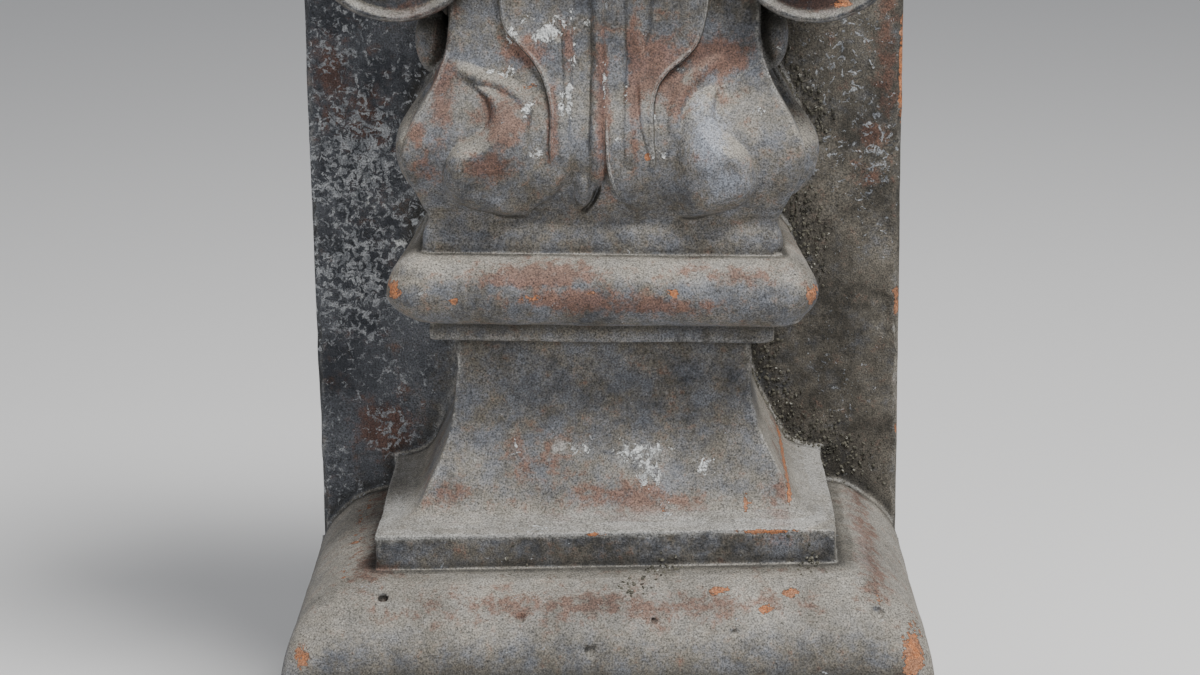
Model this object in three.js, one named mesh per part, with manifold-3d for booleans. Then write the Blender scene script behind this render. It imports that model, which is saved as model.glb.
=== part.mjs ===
// An Ionic pilaster capital in painted terracotta, pressed and fired as one block.
//
// A flat slab stands at the back. In front of it, from the ground up, come a low
// plain plinth, a big cushion moulding, a pedestal with hollowed sides, a torus,
// a square bulb wrapped in acanthus leaves, two volutes and an abacus. The
// mouldings run round three sides, are mitred at the corners and die into the slab.
//
// Millimetres, +Z up, front towards -Y, origin in the middle of the underside.

import * as THREE from 'three';
import { mergeVertices } from 'three/addons/utils/BufferGeometryUtils.js';
import Module from 'manifold-3d';

const wasm = await Module();
wasm.setup();

// ---------------------------------------------------------------- dimensions

const slabWidth = 400;
const slabThickness = 45;
const axisToSlab = 30; // the core is square, and its axis stands this far before the slab
const bedding = 12; // how deep each moulding is bedded in the slab or in its neighbour

const footHeight = 30;
const footReach = 200; // a reach is half the width, from the axis to the face
const cushionRadius = 60;
const cushionCore = 144; // reach of the centre of the cushion's round
const cushionCorner = 14;
const cushionSteps = 14;

const pedestalReach = 146;
const pedestalBand = 23; // height of the plain band under the hollow
const pedestalSkew = -0.75; // degrees: the block was pressed a little crooked
const neckTop = 142;

const filletReach = 109;
const filletBottom = 138;
const torusBottom = 151;
const torusRadius = 24;
const torusRise = 22.5; // half the height of the torus
const torusReach = 137;
const torusCorner = 20;
const torusDraft = 10; // how much the torus has drawn in on each side where it meets the slab
const torusSteps = 10;
const collarReach = 113;
const collarBottom = 186;
const collarBand = 207; // top of the collar's upright band
const collarSlope = 5; // how far the worn slope over the band draws in
const collarTop = 220;
const collarCorner = 4;

const leafTop = 392;
const leafCorner = 3;
const upperSkew = 1.2; // degrees: torus and bulb lean a little to the right
const upperSkewHeight = 230;
const voluteSkew = 0.7;
const voluteSkewHeight = 130;

const voluteCentre = 124; // across, from the axis to the eye
const voluteEye = 397; // height of the eye over the cushion
const voluteTop = 74; // radius of the spiral straight above the eye
const voluteTurns = 2.5;
const voluteShrink = 0.556; // what is left of the radius after one turn
const voluteBand = 0.13; // width of the raised band, as a share of the radius
const voluteFace = 140; // how far the face stands before the slab
const voluteRelief = 6;
const volutePlate = 24;
const eyeRadius = 10;
const echinusBottom = 372;
const echinusTop = 420;
const channelBottom = 411;

const abacusBottom = 469;
const capitalTop = 500; // all heights of the upper parts count from the cushion's top
const abacusReach = 184;
const abacusFront = 166;
const abacusStep = 9;

const cushionTop = footHeight + 2 * cushionRadius;
const cushionReach = cushionCore + cushionRadius;
const slabFront = (cushionReach + axisToSlab - slabThickness) / 2;
const slabBack = slabFront + slabThickness;
const totalHeight = cushionTop + capitalTop;

// ------------------------------------------------------------------- helpers

const radians = THREE.MathUtils.degToRad;

// Turns a closed geometry, moved by a matrix, into a solid that can be joined.
function solid(geometry, matrix = new THREE.Matrix4()) {
  const bare = geometry.clone().applyMatrix4(matrix);
  bare.deleteAttribute('normal');
  bare.deleteAttribute('uv');
  const merged = mergeVertices(bare, 1e-3);
  return new wasm.Manifold(new wasm.Mesh({
    numProp: 3,
    vertProperties: new Float32Array(merged.attributes.position.array),
    triVerts: new Uint32Array(merged.index.array),
  }));
}

// A box from its lowest to its highest corner.
function box(low, high) {
  const size = high.map((value, axis) => value - low[axis]);
  const middle = high.map((value, axis) => (value + low[axis]) / 2);
  return new THREE.BoxGeometry(...size).translate(...middle);
}

// Rings of points, one above the other and all of one length, closed into a skin
// with a flat lid above and below.
function loft(rings) {
  const count = rings[0].length;
  const positions = rings.flat(2);
  const index = [];
  for (let level = 0; level + 1 < rings.length; level += 1) {
    for (let i = 0; i < count; i += 1) {
      const next = (i + 1) % count;
      const a = level * count + i;
      const b = level * count + next;
      index.push(a, b, b + count, a, b + count, a + count);
    }
  }
  const top = (rings.length - 1) * count;
  for (let i = 1; i + 1 < count; i += 1) {
    index.push(0, i + 1, i);
    index.push(top, top + i, top + i + 1);
  }
  const geometry = new THREE.BufferGeometry();
  geometry.setAttribute('position', new THREE.Float32BufferAttribute(positions, 3));
  geometry.setIndex(index);
  return geometry;
}

// The plan of a moulding at one height: back along the left side, round the two
// front corners and back along the right side. Its back lies inside the slab, and
// is narrower by the draft on each side.
function plan(reach, height, corner, front = slabFront - axisToSlab - reach, draft = 0) {
  const cornerSteps = 3;
  const points = [[draft - reach, slabFront + bedding, height]];
  for (const side of [-1, 1]) {
    const start = side < 0 ? Math.PI : 1.5 * Math.PI;
    for (let step = 0; step <= cornerSteps; step += 1) {
      const angle = start + (step / cornerSteps) * (Math.PI / 2);
      const x = side * (reach - corner) + corner * Math.cos(angle);
      const y = front + corner + corner * Math.sin(angle);
      points.push([x, y, height]);
    }
  }
  points.push([reach - draft, slabFront + bedding, height]);
  return points;
}

// A moulding from its profile, given as [reach, height] pairs going up.
function moulding(profile, corner, draft = 0) {
  return loft(profile.map(([reach, height]) => plan(reach, height, corner, undefined, draft)));
}

// A half-round profile from below to above.
function halfRound(core, width, middle, rise, steps) {
  const profile = [];
  for (let step = 0; step <= steps; step += 1) {
    const angle = (step / steps - 0.5) * Math.PI;
    profile.push([core + width * Math.cos(angle), middle + rise * Math.sin(angle)]);
  }
  return profile;
}

// A smooth value at any height, through knots given as [height, value].
function smooth(knots, height) {
  const last = knots.length - 1;
  let i = 0;
  while (i < last - 1 && height > knots[i + 1][0]) i += 1;
  const slope = (k) => {
    const before = knots[Math.max(k - 1, 0)];
    const after = knots[Math.min(k + 1, last)];
    return (after[1] - before[1]) / (after[0] - before[0]);
  };
  const span = knots[i + 1][0] - knots[i][0];
  const t = THREE.MathUtils.clamp((height - knots[i][0]) / span, 0, 1);
  const hold = (1 + 2 * t) * (1 - t) ** 2;
  const rise = t * (1 - t) ** 2 * span;
  const fall = t * t * (t - 1) * span;
  return hold * knots[i][1] + (1 - hold) * knots[i + 1][1]
    + rise * slope(i) + fall * slope(i + 1);
}

// A small lean in the plane of the slab, about the axis at one height.
function lean(degrees, height) {
  return new THREE.Matrix4()
    .makeTranslation(0, 0, height)
    .multiply(new THREE.Matrix4().makeRotationY(radians(degrees)))
    .multiply(new THREE.Matrix4().makeTranslation(0, 0, -height));
}

const lift = new THREE.Matrix4().makeTranslation(0, 0, cushionTop);
const pedestalPlace = lift.clone().multiply(lean(pedestalSkew, 0));
const upperPlace = lift.clone().multiply(lean(upperSkew, upperSkewHeight));
const volutePlace = lift.clone().multiply(lean(voluteSkew, voluteSkewHeight));

// ------------------------------------------------------- slab, foot, cushion

const slab = solid(box(
  [-slabWidth / 2, slabFront, 0],
  [slabWidth / 2, slabBack, totalHeight],
));

const foot = solid(moulding(
  [[footReach, 0], [footReach, footHeight + bedding]],
  cushionCorner,
));

const cushion = solid(moulding(
  halfRound(cushionCore, cushionRadius, footHeight + cushionRadius, cushionRadius, cushionSteps),
  cushionCorner,
));

// The front right corner of the cushion is knocked off along a slanting break.
const chipSize = 60;
const chip = solid(
  new THREE.BoxGeometry(chipSize, chipSize, chipSize),
  new THREE.Matrix4()
    .makeTranslation(cushionReach + 16, slabFront - axisToSlab - cushionReach - 15, 84)
    .multiply(new THREE.Matrix4().makeRotationFromEuler(new THREE.Euler(0.25, 0.2, 0.8))),
);

// ------------------------------------------------------------------ pedestal

// The hollow sweeps from the plain band up to a nearly upright neck.
const hollowKnots = [
  [pedestalBand, pedestalReach], [26, 133], [31, 123.5], [47, 114], [59, 108],
  [75, 101], [93, 96.6], [111, 94.7], [neckTop, 94.7],
];
const hollowHeights = [23, 25, 28, 33, 40, 49, 60, 72, 86, 102, neckTop];
const pedestalProfile = [[pedestalReach, -bedding]]
  .concat(hollowHeights.map((height) => [smooth(hollowKnots, height), height]));
const pedestal = solid(moulding(pedestalProfile, 2), pedestalPlace);

// -------------------------------------------------- fillet, torus and collar

const fillet = solid(
  moulding([[filletReach, filletBottom], [filletReach, torusBottom + 8]], 3),
  upperPlace,
);
const torus = solid(
  moulding(
    halfRound(
      torusReach - torusRadius, torusRadius, torusBottom + torusRise, torusRise, torusSteps,
    ),
    torusCorner,
    torusDraft,
  ),
  upperPlace,
);
const collar = solid(
  moulding(
    [[collarReach, collarBottom], [collarReach, collarBand],
      [collarReach - collarSlope, collarTop]],
    collarCorner,
  ),
  upperPlace,
);

// ------------------------------------------------------- bulb and its leaves

// The corner of the bulb: pinched at the collar, full above it, slim at the top.
const bulbKnots = [
  [212, 106], [220, 110.5], [234, 117], [247, 122.5], [260, 125.2], [270, 123.5],
  [283, 117], [300, 107], [311, 102], [323, 98.8], [345, 97], [leafTop, 99],
];

// Lines of the carving on one half of a face, each as [height, across].
const stemLine = [
  [212, 24], [228, 25], [240, 21.5], [255, 18.5], [300, 17], [340, 14.5], [392, 14],
];
const grooveLine = [
  [212, 31], [245, 34], [268, 38], [290, 38], [300, 35.5], [312, 43], [330, 60.5],
  [344, 66], [392, 62],
];
const armLine = [
  [212, 44], [255, 43], [274, 46], [290, 47], [302, 57], [318, 68], [345, 74], [392, 72],
];
const crestLine = [
  [212, 62], [228, 74], [246, 86], [256, 80], [265, 68], [281, 59.5], [296, 62],
  [307, 72], [320, 78], [392, 78],
];
const curlLine = [
  [212, 74], [228, 88], [242, 96], [256, 96], [267, 89], [279, 73], [291, 70], [300, 74],
  [309, 81], [392, 84],
];

const ribHalf = 4;
const stemRise = 5;
const ribRise = 8;
const curlRise = 9;
const tipRise = 8;
const lobeRise = 5.5;
const eyeDepth = 8;
const grooveDepth = 3;
const notchDepth = 5;
const scoopDepth = 8;
const leftFlankDepth = 0.5; // the sides carry the same leaf, cut less deep
const rightFlankDepth = 0.85;
const { smoothstep } = THREE.MathUtils;

// 1 between two heights and 0 beyond them, with soft ends.
function between(height, low, high, soft) {
  return smoothstep(height, low - soft, low + soft)
    * (1 - smoothstep(height, high - soft, high + soft));
}

// One level of the carving, from the middle of a face to its corner, as pairs of
// [across, how far it stands out].
function carvedSection(height, reach) {
  const stem = smooth(stemLine, height);
  const groove = smooth(grooveLine, height);
  const arm = smooth(armLine, height);
  const crest = smooth(crestLine, height);
  const curl = smooth(curlLine, height);
  const stemUp = smoothstep(height, 240, 252);
  const tips = between(height, 220, 246, 7);
  const ball = between(height, 222, 262, 9);
  const curled = between(height, 218, 302, 6);
  const eye = between(height, 268, 293, 5);
  const upper = smoothstep(height, 300, 332);
  const notch = smoothstep(height, 314, 330);
  const scoop = scoopDepth * between(height, 272, 300, 9);
  const rib = ribRise * stemUp - 2 * tips;
  const band = stemRise * stemUp + tipRise * tips * (1 - stemUp);
  const valley = 1 + 4 * ball;
  return [
    [0, rib],
    [ribHalf, 0.85 * rib + 0.15 * band],
    [ribHalf + 2, band - 2 * stemUp - 2 * tips],
    [(ribHalf + 2 + stem) / 2, band],
    [stem - 1, 0.9 * band],
    [stem + 1.5, valley - 0.5 - notch],
    [(stem + 1.5 + Math.min(groove, 36)) / 2, valley + 1 - (notchDepth + 1) * notch],
    [Math.min(groove, 36) - 3, valley + 0.5 - 2 * eye + 2 * notch],
    [groove - 4 - 7 * upper, valley - 2 * eye + (lobeRise - valley) * upper],
    [groove, 5 * ball - eyeDepth * eye - grooveDepth * (1 - curled)],
    [Math.max(arm - 1, groove + 4), 7 * ball + (1 - ball) * 3.5 * curled],
    [(arm + crest) / 2, (0.8 * curlRise + 1.5 * ball) * curled],
    [crest, curlRise * curled],
    [curl - 1.5, 0.2 * curlRise * curled - 0.4 * scoop],
    [curl + 2, -scoop],
    [curl + 0.3 * (reach - curl), 0.5 - 0.85 * scoop],
    [curl + 0.65 * (reach - curl), 1 - 0.3 * scoop],
    [reach - leafCorner, 0],
  ];
}

// One level of the bulb, from the slab round the three leaved faces to the slab.
function leafRing(height) {
  const reach = smooth(bulbKnots, height);
  const fade = between(height, 217, 380, 6);
  const section = carvedSection(height, reach);
  const axisY = slabFront - axisToSlab;
  const behind = section.slice(1, 6); // the stem, seen again between axis and slab
  const ring = [];
  for (const side of [-1, 1]) {
    const depth = fade * (side < 0 ? leftFlankDepth : rightFlankDepth);
    const flank = [[side * reach, slabFront + bedding, height]];
    for (const [across, out] of [...behind].reverse()) {
      flank.push([side * (reach + out * depth), axisY + across, height]);
    }
    for (const [across, out] of section) {
      flank.push([side * (reach + out * depth), axisY - across, height]);
    }
    const face = section.slice(side < 0 ? 0 : 1).reverse();
    for (const [across, out] of face) {
      flank.push([side * across, axisY - reach - out * fade, height]);
    }
    ring.push(...(side < 0 ? flank : flank.reverse()));
  }
  return ring;
}

const leafStep = 4;
const leafHeights = [];
for (let height = 212; height < 348; height += leafStep) leafHeights.push(height);
leafHeights.push(356, 366, 374, 382, leafTop);
const bulb = solid(loft(leafHeights.map(leafRing)), upperPlace);

// A plump bud hangs under each volute against the side of the bulb.
const budSize = [11, 11, 21];
const budPlace = [107, slabFront - axisToSlab - 65, 326];
const buds = [-1, 1].map((side) => solid(
  new THREE.SphereGeometry(1, 14, 10)
    .rotateX(Math.PI / 2)
    .scale(...budSize)
    .translate(side * budPlace[0], budPlace[1], budPlace[2]),
  upperPlace,
));

// --------------------------------------------- volutes, channel and echinus

// A point of the spiral: turn 0 is straight above the eye, and the line winds
// outwards, down and in.
function spiralPoint(side, turn, share) {
  const radius = share * voluteTop * voluteShrink ** turn;
  const angle = Math.PI / 2 - side * turn * 2 * Math.PI;
  return new THREE.Vector2(
    side * voluteCentre + radius * Math.cos(angle),
    voluteEye + radius * Math.sin(angle),
  );
}

// A flat outline in the plane of the face, given thickness towards the slab.
function plate(outline, front, depth) {
  const shape = new THREE.Shape(outline);
  return new THREE.ExtrudeGeometry(shape, { depth, bevelEnabled: false })
    .rotateX(Math.PI / 2)
    .translate(0, slabFront - front + depth, 0);
}

const spiralSteps = 22; // to each turn

function volute(side) {
  const disc = [];
  for (let step = 0; step <= spiralSteps; step += 1) {
    disc.push(spiralPoint(side, step / spiralSteps, 1));
  }
  const bandOutside = [];
  const bandInside = [];
  const bandSteps = Math.round(voluteTurns * spiralSteps);
  for (let step = 0; step <= bandSteps; step += 1) {
    const turn = (step / bandSteps) * voluteTurns;
    bandOutside.push(spiralPoint(side, turn, 1));
    bandInside.unshift(spiralPoint(side, turn, 1 - voluteBand));
  }
  const bolster = new THREE.LatheGeometry([
    new THREE.Vector2(0, -bedding),
    new THREE.Vector2(44, -bedding),
    new THREE.Vector2(40, 30),
    new THREE.Vector2(38, 60),
    new THREE.Vector2(42, 92),
    new THREE.Vector2(49, voluteFace - volutePlate + 4),
    new THREE.Vector2(0, voluteFace - volutePlate + 4),
  ], 28).rotateX(Math.PI).translate(side * voluteCentre, slabFront, voluteEye);
  const eye = new THREE.CylinderGeometry(eyeRadius, eyeRadius, voluteRelief + bedding, 20)
    .translate(0, (bedding - voluteRelief) / 2, 0)
    .translate(side * voluteCentre, slabFront - voluteFace, voluteEye);
  return [
    solid(plate(disc, voluteFace, volutePlate), volutePlace),
    solid(
      plate([...bandOutside, ...bandInside], voluteFace + voluteRelief, voluteRelief + 4),
      volutePlace,
    ),
    solid(bolster, volutePlace),
    solid(eye, volutePlace),
  ];
}

const volutes = [-1, 1].flatMap(volute);

// The channel joins the volutes over the echinus, between two raised bands. It
// stays a hair inside them, so that no two faces lie in one plane.
const hair = 1;
const overlap = 3;
const channelTop = voluteEye + voluteTop - hair;
const bandHeight = voluteTop * voluteBand;
const bandFront = slabFront - voluteFace - voluteRelief + hair / 2;

function channelBand(reach, low) {
  return solid(
    box([-reach, bandFront, low], [reach, slabFront - voluteFace + 5, low + bandHeight]),
    volutePlace,
  );
}

const channelBands = [
  channelBand(voluteCentre - voluteTop * voluteShrink, channelBottom),
  channelBand(voluteCentre + overlap, channelTop - bandHeight),
];
const channel = solid(
  box(
    [-voluteCentre - overlap, slabFront - voluteFace + hair, channelBottom + hair],
    [voluteCentre + overlap, slabFront + bedding - hair, channelTop - hair],
  ),
  volutePlace,
);

const echinusProfile = [0, 1, 2, 3, 4, 5].map((step) => {
  const angle = (step / 5) * (Math.PI / 2);
  const rise = (echinusTop - echinusBottom) * (1 - Math.cos(angle));
  return [97 + 13 * Math.sin(angle), echinusBottom + rise];
});
const echinus = solid(moulding(echinusProfile, 3), volutePlace);

// -------------------------------------------------------------------- abacus

const abacusLevels = [
  [abacusReach - abacusStep, abacusBottom - 8],
  [abacusReach - abacusStep, abacusBottom + 3],
  [abacusReach - abacusStep / 2, abacusBottom + 7],
  [abacusReach, abacusBottom + 12],
  [abacusReach, capitalTop],
];
const abacus = solid(
  loft(abacusLevels.map(([reach, height]) => {
    const front = slabFront - abacusFront + (abacusReach - reach);
    return plan(reach, height, 2, front);
  })),
  lift,
);

// ------------------------------------------------------------- the one block

const block = [
  foot, cushion, pedestal, fillet, torus, collar, bulb, ...buds, ...volutes,
  channel, ...channelBands, echinus, abacus,
].reduce((joined, piece) => joined.add(piece), slab).subtract(chip);

const { vertProperties, triVerts } = block.getMesh();
const geometry = new THREE.BufferGeometry();
geometry.setAttribute('position', new THREE.BufferAttribute(vertProperties, 3));
geometry.setIndex(new THREE.BufferAttribute(triVerts, 1));
geometry.computeVertexNormals();

const paintedTerracotta = new THREE.MeshStandardMaterial({
  color: 0x5f5f60,
  roughness: 0.86,
  metalness: 0,
  flatShading: true,
});

const capital = new THREE.Mesh(geometry, paintedTerracotta);
capital.name = 'capital_block';

const model = new THREE.Group();
model.add(capital);

export default model;
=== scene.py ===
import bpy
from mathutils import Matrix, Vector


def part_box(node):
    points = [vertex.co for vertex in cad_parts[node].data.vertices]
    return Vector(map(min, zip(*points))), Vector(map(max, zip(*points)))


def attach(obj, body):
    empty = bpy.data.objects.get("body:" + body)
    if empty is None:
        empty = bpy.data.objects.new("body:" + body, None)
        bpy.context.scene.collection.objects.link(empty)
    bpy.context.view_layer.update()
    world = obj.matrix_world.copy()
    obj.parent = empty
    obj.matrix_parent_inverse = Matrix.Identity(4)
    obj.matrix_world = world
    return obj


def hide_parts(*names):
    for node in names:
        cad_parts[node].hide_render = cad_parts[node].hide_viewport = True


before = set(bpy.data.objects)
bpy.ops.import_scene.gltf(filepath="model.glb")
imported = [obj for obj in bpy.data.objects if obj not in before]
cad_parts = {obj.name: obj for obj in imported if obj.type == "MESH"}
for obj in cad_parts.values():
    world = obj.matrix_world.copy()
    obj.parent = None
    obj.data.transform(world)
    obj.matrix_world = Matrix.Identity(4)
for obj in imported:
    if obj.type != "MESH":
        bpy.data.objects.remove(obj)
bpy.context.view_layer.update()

import math

import bpy
import numpy as np
import openvdb
from mathutils import Matrix, Vector

# Mouldings: the capital is one block of terracotta. Foot, cushion, pedestal, torus,
# collar and bulb run round three sides of a square core and are mitred at its
# corners; their profile is drawn once, as signed distances, and swept round it.

MM = 0.001
low_mm, high_mm = (np.array(corner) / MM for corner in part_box("capital_block"))
slab_width = 400.0
slab_thickness = 45.0
slab_back = high_mm[1]
slab_front = slab_back - slab_thickness
total_height = high_mm[2]
axis_y = slab_front - 30.0  # the core's axis stands before the slab
foot_height = 30.0
cushion_radius = 60.0
seat = foot_height + 2 * cushion_radius  # the pedestal stands on the cushion


def ramp(value, start, stop):
    t = np.clip((value - start) / (stop - start), 0, 1)
    return t * t * (3 - 2 * t)


def between(value, start, stop, soft):
    return ramp(value, start - soft, start + soft) * (1 - ramp(value, stop - soft, stop + soft))


def joined(one, other, soft):
    """The nearer of two forms, with the corner between them filled."""
    share = np.clip(0.5 + 0.5 * (other - one) / soft, 0, 1)
    return other + (one - other) * share - soft * share * (1 - share)


def through(knots, value):
    """A smooth value at any height, through pairs of height and value."""
    heights, values = np.array(knots, float).T
    slopes = np.gradient(values, heights)
    slopes[1:-1] = (values[2:] - values[:-2]) / (heights[2:] - heights[:-2])
    value = np.clip(value, heights[0], heights[-1])
    i = np.clip(np.searchsorted(heights, value, side="right") - 1, 0, len(heights) - 2)
    span = heights[i + 1] - heights[i]
    t = (value - heights[i]) / span
    hold = (1 + 2 * t) * (1 - t) ** 2
    return (hold * values[i] + (1 - hold) * values[i + 1]
            + t * (1 - t) ** 2 * span * slopes[i] + t * t * (t - 1) * span * slopes[i + 1])


TABLE_STEP = 0.5
TABLE_INNER, TABLE_BOTTOM = -30.0, -20.0
table_reach = np.arange(TABLE_INNER, 260, TABLE_STEP)[:, None]
table_height = np.arange(TABLE_BOTTOM, total_height + 20, TABLE_STEP)[None, :]
above = table_height - seat


def bar(reach, bottom, top, rounding):
    """A plain band, cut at one reach."""
    out = table_reach - (reach - rounding)
    off = np.abs(above - (bottom + top) / 2) - ((top - bottom) / 2 - rounding)
    outside = np.hypot(np.maximum(out, 0), np.maximum(off, 0))
    return outside + np.minimum(np.maximum(out, off), 0) - rounding


def half_round(core, middle, width, rise):
    out = np.maximum(table_reach - core, 0) / width
    return (np.hypot(out, (above - middle) / rise) - 1) * min(width, rise)


def swept(reach, bottom, top):
    """A band whose reach changes with height."""
    slope = np.gradient(reach, TABLE_STEP, axis=1)
    side = (table_reach - reach) / np.sqrt(1 + slope ** 2)
    return np.maximum(side, np.abs(above - (bottom + top) / 2) - (top - bottom) / 2)


foot_reach, foot_top = 200, 6 - 2 * cushion_radius
cushion_core = 144
plinth_reach, plinth_bottom, plinth_top = 146, -15, 23
fillet_reach, fillet_bottom, fillet_top = 109.5, 138, 160
torus_core, torus_middle, torus_width, torus_rise = 113, 173.5, 24, 22.5
collar_bottom, collar_top = 180, 222
bulb_bottom, bulb_top = 207, 400
echinus_bottom, echinus_top = 374, 425
# Reach of the pedestal's hollow and of the bulb, as pairs of height and reach.
hollow_knots = [(23, 146), (26, 133), (31, 123.5), (47, 114), (59, 108), (75, 101),
                (93, 96.6), (111, 94.7), (150, 94.7)]
bulb_knots = [(205, 104), (212, 106), (220, 110.5), (234, 117), (247, 122.5), (260, 125.2),
              (270, 123.5), (283, 117), (300, 107), (311, 102), (323, 98.8), (345, 97), (400, 99)]
echinus = 97 + 13 * np.sqrt(np.clip((above - 372) / 48, 0, 1))

profile = joined(bar(foot_reach, -seat, foot_top, 3),
                 half_round(cushion_core, -cushion_radius, cushion_radius, cushion_radius), 2)
hollow = swept(through(hollow_knots, above), plinth_top - 1, 150)
profile = joined(profile, joined(bar(plinth_reach, plinth_bottom, plinth_top, 1.5), hollow, 2.5), 2.5)
profile = joined(profile, bar(fillet_reach, fillet_bottom, fillet_top, 1.5), 1.5)
profile = joined(profile, half_round(torus_core, torus_middle, torus_width, torus_rise), 2)
collar = 113.5 - 5.5 * ramp(above, 205, 221)
profile = joined(profile, swept(collar, collar_bottom, collar_top), 2)
profile = joined(profile, swept(through(bulb_knots, above), bulb_bottom, bulb_top), 1.5)
profile = joined(profile, swept(echinus, echinus_bottom, echinus_top), 1.5)

# Acanthus leaf: each face of the bulb carries one leaf, modelled in the clay by
# raising ridges, rolling its edges into two curls and gouging grooves, all drawn
# on the flat face as millimetres across and over the cushion.

leaf_edge = 135
leaf_bottom, leaf_top = 200, 400
leaf_across = np.arange(-leaf_edge, leaf_edge + 0.1, TABLE_STEP)
leaf_heights = np.arange(leaf_bottom, leaf_top, TABLE_STEP)
across, height = np.meshgrid(leaf_across, leaf_heights, indexing="ij")


def beside(points):
    """Distance from a drawn line, above zero to its right, and the share of it passed."""
    drawn = np.array(points, float)
    drawn = np.vstack([2 * drawn[0] - drawn[1], drawn, 2 * drawn[-1] - drawn[-2]])
    t = np.linspace(0, 1, 9)[:-1, None]
    line = np.vstack([
        0.5 * (2 * b + (c - a) * t + (2 * a - 5 * b + 4 * c - d) * t ** 2
               + (3 * b - a - 3 * c + d) * t ** 3)
        for a, b, c, d in zip(drawn, drawn[1:], drawn[2:], drawn[3:])] + [drawn[-2:-1]])
    nearest = np.full(across.shape, 1e9)
    side = np.zeros(across.shape)
    passed = np.zeros(across.shape)
    for k, (start, stop) in enumerate(zip(line, line[1:])):
        ex, ey = stop - start
        t = np.clip(((across - start[0]) * ex + (height - start[1]) * ey) / (ex * ex + ey * ey), 0, 1)
        dx = across - start[0] - t * ex
        dy = height - start[1] - t * ey
        distance = dx * dx + dy * dy
        nearer = distance < nearest - 1e-9
        nearest = np.where(nearer, distance, nearest)
        side = np.where(nearer, np.sign(ey * dx - ex * dy), side)
        passed = np.where(nearer, (k + t) / (len(line) - 1), passed)
    return np.sqrt(nearest) * side, passed


def rounded(value):
    """Rises from 0 to 1 as a quarter circle does."""
    return np.sqrt(1 - (1 - np.clip(value, 0, 1)) ** 2)


def raised(one, other, soft):
    """The higher of two reliefs, with the edge between them rounded."""
    return -joined(-one, -other, soft)


def taper(passed, share):
    """Fades a stroke of the tool in and out at its ends."""
    return ramp(passed, 0, share) * (1 - ramp(passed, 1 - share, 1))


def groove(relief, points, width, depth, share=0.18):
    distance, passed = beside(points)
    return relief - depth * taper(passed, share) * np.clip(1 - np.abs(distance) / width, 0, 1) ** 1.3


def ridge(relief, points, width, rise):
    distance, passed = beside(points)
    return raised(relief, (rise + 3) * taper(passed, 0.25) * (1 - (distance / width) ** 2) - 3, 1.5)


def curl(outer, inner, hook, depth):
    """One rolled edge of the leaf, from its thin hook down to the ball."""
    mirror = np.sign(outer[0][0])
    out = -mirror * beside(outer)[0]
    inside = -mirror * beside(inner)[0]
    size = 1 - ramp(height, 262, 298)
    body = (7 + 5 * size) * rounded(-out / (6.5 + 6 * size)) * rounded(inside / (10 + 16 * size)) ** 1.5
    body += 1.6 * size * np.exp(-((out + 9) / 4) ** 2)
    field = -3.5 * np.exp(-np.clip(out, 0, None) / 12) * between(height, 228, 300, 7)
    bowl = np.exp(-((across - hook[0]) / 10) ** 2 - ((height - hook[1]) / 10) ** 2)
    rest = np.where(out > 0, field - depth * bowl, -2)
    return np.where((out <= 0) & (inside >= 0), np.maximum(body, -2), rest)


right = curl([(76, 303), (70.5, 299), (69, 291), (69.5, 284), (73, 277.5), (80, 272), (88, 266),
              (93.5, 257), (95.5, 247), (94, 238.5), (88, 230.5), (78, 225.5), (64, 221)],
             [(76, 303), (66, 301.5), (56, 297), (50, 289), (47.5, 280), (46, 268), (45, 256),
              (45, 240), (46, 228), (48, 214)], (78, 287), 3.0)
left = curl([(-84, 303), (-79, 299), (-73, 294), (-70.5, 286), (-73, 278), (-80, 272), (-90, 267),
             (-97, 258), (-99.5, 247), (-98, 238), (-92, 230), (-82, 225), (-68, 221)],
            [(-84, 303), (-70, 301), (-60, 297), (-51, 291), (-46, 282), (-44, 272), (-43, 260),
             (-43, 245), (-44, 230), (-46, 214)], (-81, 288), 8.0)

# The stem wavers a little, as it was cut by hand: a round rib, and on each side a
# sunk flat, two narrow strips and the lip of the lobe, over a skirt that flares.
aside = across + 0.4 * np.sin(height / 11 + 1) + 0.3 * np.sin(height / 4.7)
rib = 6.8 * np.sqrt(np.clip(1 - ((aside + 3.8) / 4.9) ** 2, 0, 1)) * ramp(height, 236, 250)

right = ridge(right, [(84, 326), (70, 318), (58, 309), (49, 300), (44.5, 288), (44, 274),
                      (46, 262)], 7, 3.6)
lip = beside([(65, 392), (65, 372), (64, 352), (62, 340), (58, 328), (51, 319.5), (42, 312.5),
              (35.5, 305), (32, 296), (31, 285), (31.3, 272), (32.3, 260), (31, 249), (27, 240)])[0]
level = 2.4 + 2.0 * ramp(aside, 12.4, 14.2) + 0.8 * ramp(aside, 20, 22.5) * ramp(height, 262, 300)
level -= 2.0 * np.exp(-((aside - 43) / 13) ** 2 - ((height - 334) / 16) ** 2)
level = (level * ramp(height, 238, 262)
         + 1.6 * np.exp(-((lip - 1.2) / 1.5) ** 2) * ramp(height, 250, 266))
right = np.where(lip > 0, raised(level, np.minimum(right, 1), 0.8),
                 right - 3.6 * np.exp(lip / 6) * between(height, 262, 352, 10))
drop = 1 - ((aside - 36.2) / 4.4) ** 2 - ((height - 289) / 17) ** 2
right -= 2.6 * np.sqrt(np.clip(drop, 0, 1))
right = groove(right, [(20.5, 306), (21, 292), (23, 276), (27.5, 262), (31, 251)], 2.0, 2.4)
wedge = np.minimum(-beside([(17, 400), (17.5, 350), (20, 336), (23.5, 322)])[0],
                   beside([(31, 400), (30, 350), (29, 336), (25, 322)])[0])
right -= 3.2 * np.clip(wedge / 2.0, 0, 1) * (height > 322)
edge = beside([(34, 212), (22, 221.5), (13, 230), (8, 238), (5, 246), (3, 256), (2.2, 275),
               (2.2, 330)])[0]
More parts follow.
